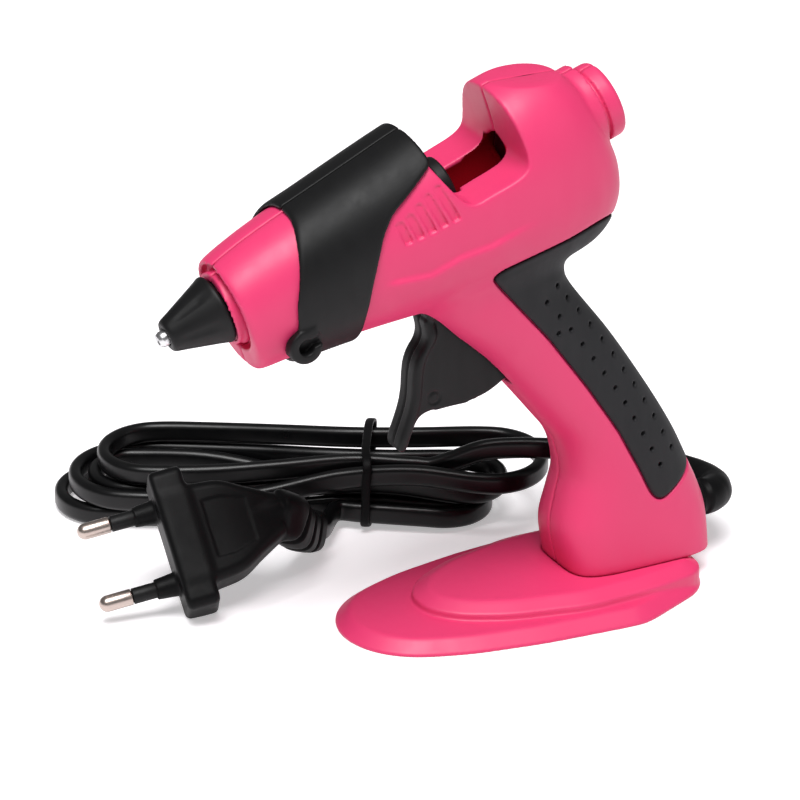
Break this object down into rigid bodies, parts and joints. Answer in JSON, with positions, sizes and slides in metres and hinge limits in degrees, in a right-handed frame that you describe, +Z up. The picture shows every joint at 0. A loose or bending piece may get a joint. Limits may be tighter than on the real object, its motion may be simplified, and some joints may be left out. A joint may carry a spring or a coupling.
{
  "type": "mini hot glue applicator",
  "caption": "Mini hot glue applicator with split housing, dimpled grip covers, snap band, trigger feed, foot stand and a tied mains cord with flat plug",
  "frame": {"origin": "middle of the foot's underside, on the middle rib", "axes": "+X from the nozzle towards the cord entry, +Y to the left across the parting plane, +Z up"},
  "size_m": [0.1596, 0.1349, 0.1344],
  "materials": {
    "pink_body": "moulded, fine spark-eroded texture",
    "black_trim": "moulded, fine texture",
    "soft_grip": "soft overmould, matt",
    "soft_black": "smooth flexible",
    "bright_steel": "bright",
    "cast_metal": "as cast",
    "ceramic": "ceramic body",
    "nickel_pin": "bright nickel plate",
    "wire_brown": "smooth insulation",
    "wire_blue": "smooth insulation"
  },
  "bodies": {
    "root": {"left_housing": "pink_body", "right_housing": "pink_body", "foot": "pink_body", "left_band": "black_trim", "right_band": "black_trim", "nozzle_cap": "black_trim", "inlet_sleeve": "black_trim", "left_grip": "soft_grip", "right_grip": "soft_grip", "strain_relief": "soft_black", "nozzle": "bright_steel", "heater_clip": "bright_steel", "return_spring": "bright_steel", "trigger_pin": "bright_steel", "melt_chamber": "cast_metal", "ptc_heater": "ceramic", "cord_hank": "soft_black", "cord_lead": "soft_black", "cord_tail": "soft_black", "cord_tie": "soft_black", "plug_body": "soft_black", "plug_pin_1": "nickel_pin", "plug_pin_2": "nickel_pin", "pin_sleeve_1": "black_trim", "pin_sleeve_2": "black_trim", "lead_wire_live": "wire_brown", "lead_wire_neutral": "wire_blue", "housing_screw_1": "bright_steel", "housing_screw_2": "bright_steel", "housing_screw_3": "bright_steel", "housing_screw_4": "bright_steel"},
    "trigger": {"trigger": "black_trim"},
    "carriage": {"carriage": "black_trim"},
    "jaw": {"clamp_jaw": "bright_steel"}
  },
  "joints": [
    {"name": "trigger_hinge", "type": "hinge", "parent": "root", "child": "trigger", "pos_m": [-0.0222, 0, 0.0823], "axis": [0, -1, 0], "range_deg": [0, 18], "stiffness_Nm_per_rad": 0.25, "springref_deg": -11.46},
    {"name": "carriage_slide", "type": "slide", "parent": "root", "child": "carriage", "axis": [-0.9426, 0, -0.3338], "range_m": [0, 0.0045], "deforming": ["return_spring"]},
    {"name": "jaw_hinge", "type": "hinge", "parent": "carriage", "child": "jaw", "pos_m": [0.01054, 0, 0.11406], "axis": [0, -1, 0], "range_deg": [0, 6]}
  ],
  "couplings": [
    {"joint": "carriage_slide", "follows": "trigger_hinge", "m_per_rad": 0.0135},
    {"joint": "jaw_hinge", "follows": "trigger_hinge", "ratio": 0.25}
  ]
}
